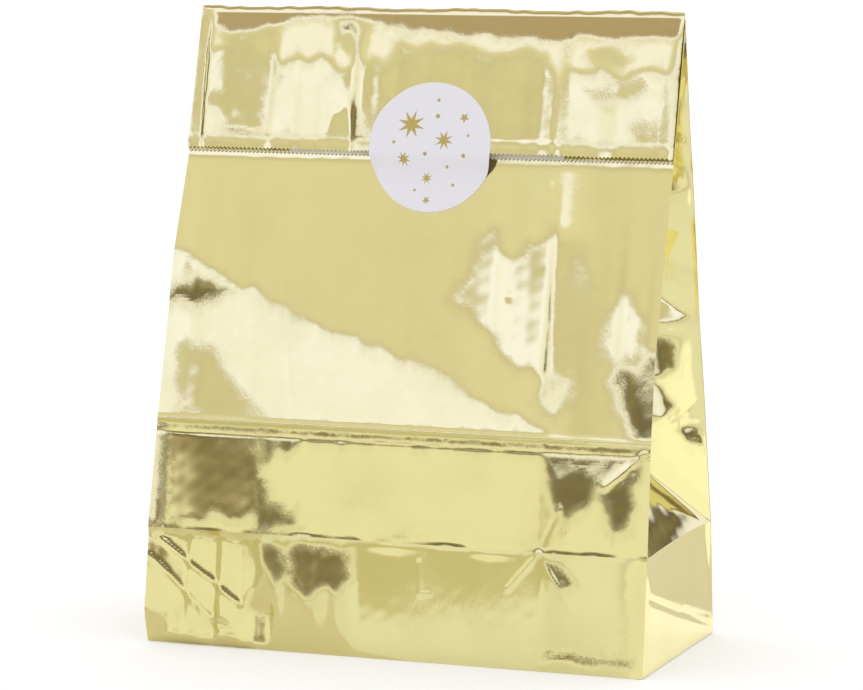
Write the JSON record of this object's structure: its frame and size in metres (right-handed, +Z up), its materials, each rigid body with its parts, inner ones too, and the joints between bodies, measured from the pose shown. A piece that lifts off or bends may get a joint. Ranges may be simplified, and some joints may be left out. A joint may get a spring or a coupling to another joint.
{
  "type": "gift bag",
  "caption": "Block-bottomed foil paper gift bag with side gussets, its top folded over the front as a flap and closed with a round sticker.",
  "frame": {"origin": "centre of the base, on the surface the bag stands on", "axes": "+Z up from the base to the fold; -Y towards the front that the flap covers; X along the width"},
  "size_m": [0.18, 0.08, 0.2179],
  "materials": {
    "foil_paper": "pale gold metallised film laminated on paper, mirror-like with fine crinkles",
    "paper_inside": "uncoated off-white kraft paper",
    "sticker_paper": "matt white paper with small hot-foil motifs"
  },
  "bodies": {
    "base": {"bottom_outer_flap": "foil_paper", "bottom_inner_flap": "foil_paper", "bottom_tuck_left": "paper_inside", "bottom_tuck_right": "paper_inside", "base_front_wall": "foil_paper", "base_back_wall": "foil_paper", "base_left_wall": "foil_paper", "base_right_wall": "foil_paper", "gusset_triangle_left": "foil_paper", "gusset_triangle_right": "foil_paper", "seam_lap_base": "foil_paper"},
    "front": {"front_wall": "foil_paper", "gusset_front_left": "foil_paper", "gusset_front_right": "foil_paper"},
    "back": {"back_wall": "foil_paper", "gusset_back_left": "foil_paper", "gusset_back_right": "foil_paper", "seam_lap_wall": "foil_paper"},
    "front_flap_ply": {"front_flap": "foil_paper", "flap_gusset_front_left": "foil_paper", "flap_gusset_front_right": "foil_paper"},
    "back_flap_ply": {"back_flap": "foil_paper", "flap_gusset_back_left": "foil_paper", "flap_gusset_back_right": "foil_paper", "seam_lap_flap": "foil_paper", "sticker_upper": "sticker_paper"},
    "sticker_tongue": {"sticker_lower": "sticker_paper"}
  },
  "joints": [
    {"name": "front_lean", "type": "hinge", "parent": "base", "child": "front", "pos_m": [0, -0.03985, 0.04], "axis": [1, 0, 0], "range_deg": [0, 2.8]},
    {"name": "back_lean", "type": "hinge", "parent": "base", "child": "back", "pos_m": [0, 0.03985, 0.04], "axis": [-1, 0, 0], "range_deg": [0, 2.8]},
    {"name": "flap_unfold", "type": "hinge", "parent": "back", "child": "back_flap_ply", "pos_m": [0, 0.01005, 0.2192], "axis": [-1, 0, 0], "range_deg": [0, 172]},
    {"name": "front_ply_unfold", "type": "hinge", "parent": "front", "child": "front_flap_ply", "pos_m": [0, 0.01052, 0.21333], "axis": [-1, 0, 0], "range_deg": [0, 158]},
    {"name": "sticker_peel", "type": "hinge", "parent": "back_flap_ply", "child": "sticker_tongue", "pos_m": [0, -0.00498, 0.17046], "axis": [-1, 0, 0], "range_deg": [0, 150]}
  ],
  "couplings": [
    {"joint": "front_lean", "follows": "flap_unfold", "ratio": 0.016279},
    {"joint": "back_lean", "follows": "flap_unfold", "ratio": 0.016279},
    {"joint": "front_ply_unfold", "follows": "flap_unfold", "ratio": 0.9186}
  ]
}
